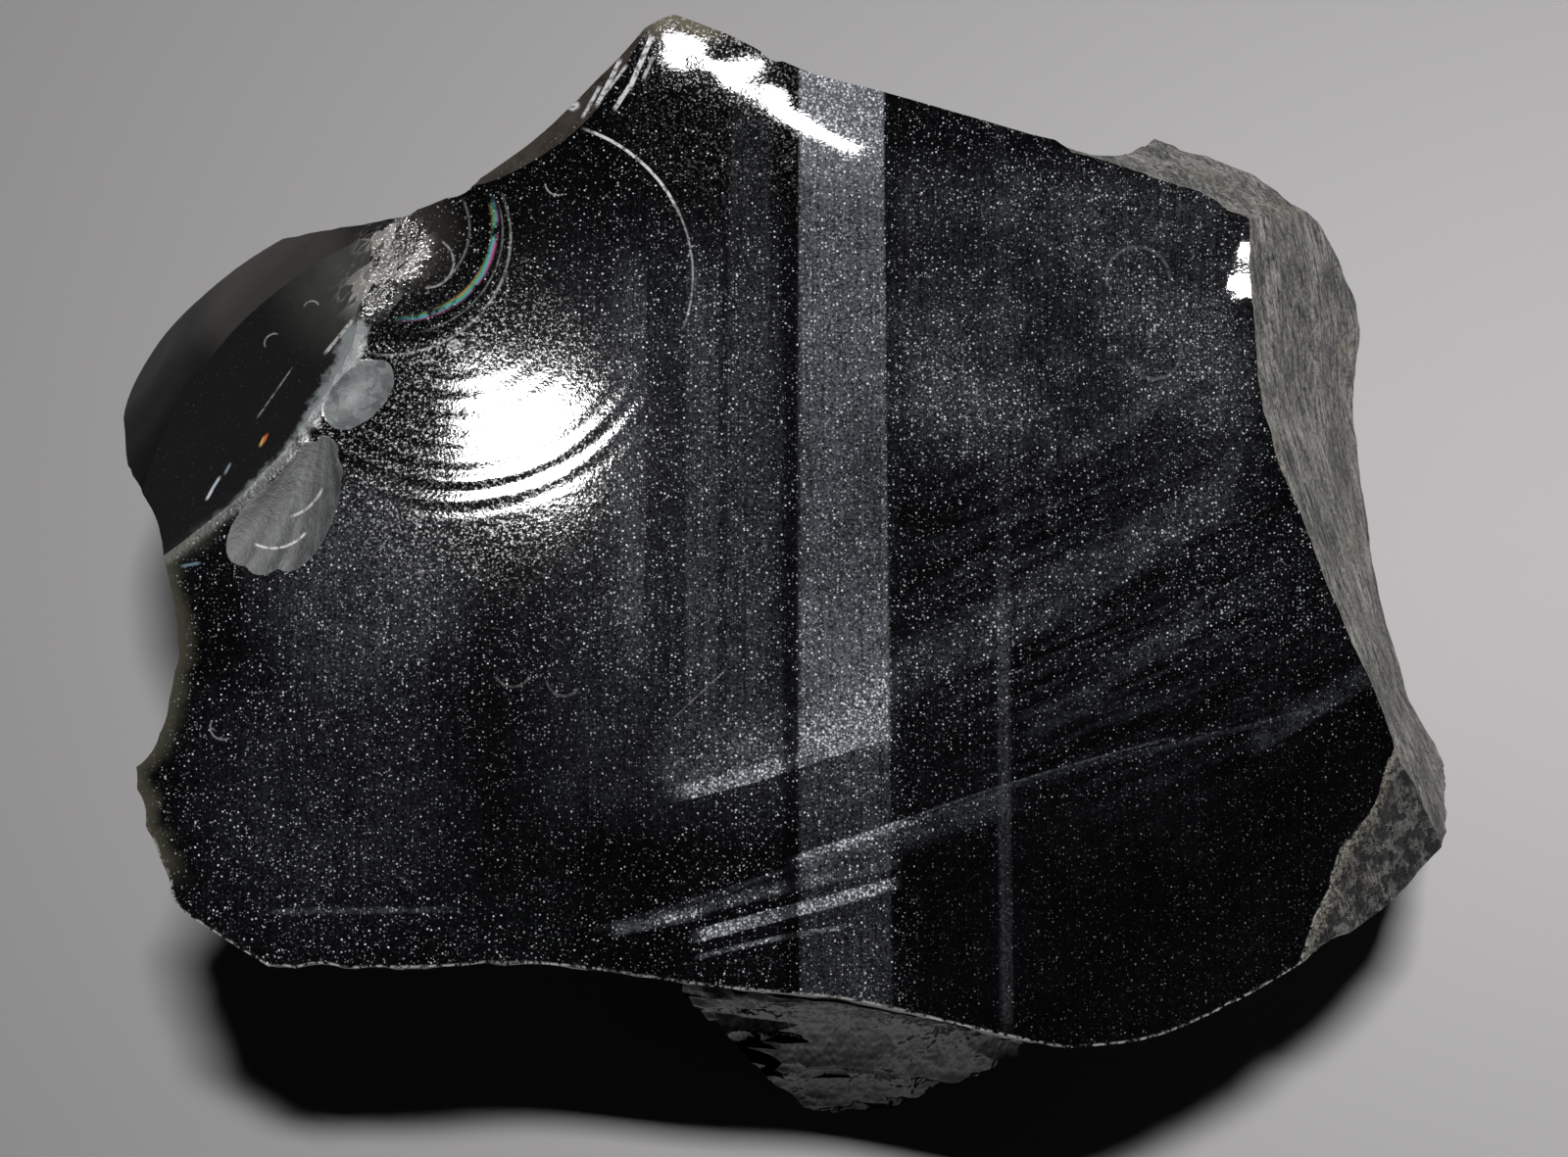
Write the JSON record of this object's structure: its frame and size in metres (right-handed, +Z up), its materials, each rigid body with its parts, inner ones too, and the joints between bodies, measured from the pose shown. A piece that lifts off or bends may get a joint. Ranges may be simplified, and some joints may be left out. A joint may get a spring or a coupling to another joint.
{
  "type": "obsidian chunk",
  "caption": "Lump of black volcanic glass with one wide conchoidal top face, undercut flaked sides, a weathered grey side and a flat base.",
  "frame": {"origin": "on the surface that the chunk rests on, under the middle of its bounding box", "axes": "+X along the chunk's length, from the scarred shoulder towards the weathered side; +Y away from the keel; +Z up"},
  "size_m": [0.1014, 0.079, 0.0469],
  "materials": {
    "obsidian": "opaque black volcanic glass, polished-looking fresh fractures with silvery flow bands; one side has a dull grey weathered skin"
  },
  "bodies": {
    "root": {"obsidian_chunk": "obsidian"}
  },
  "joints": []
}
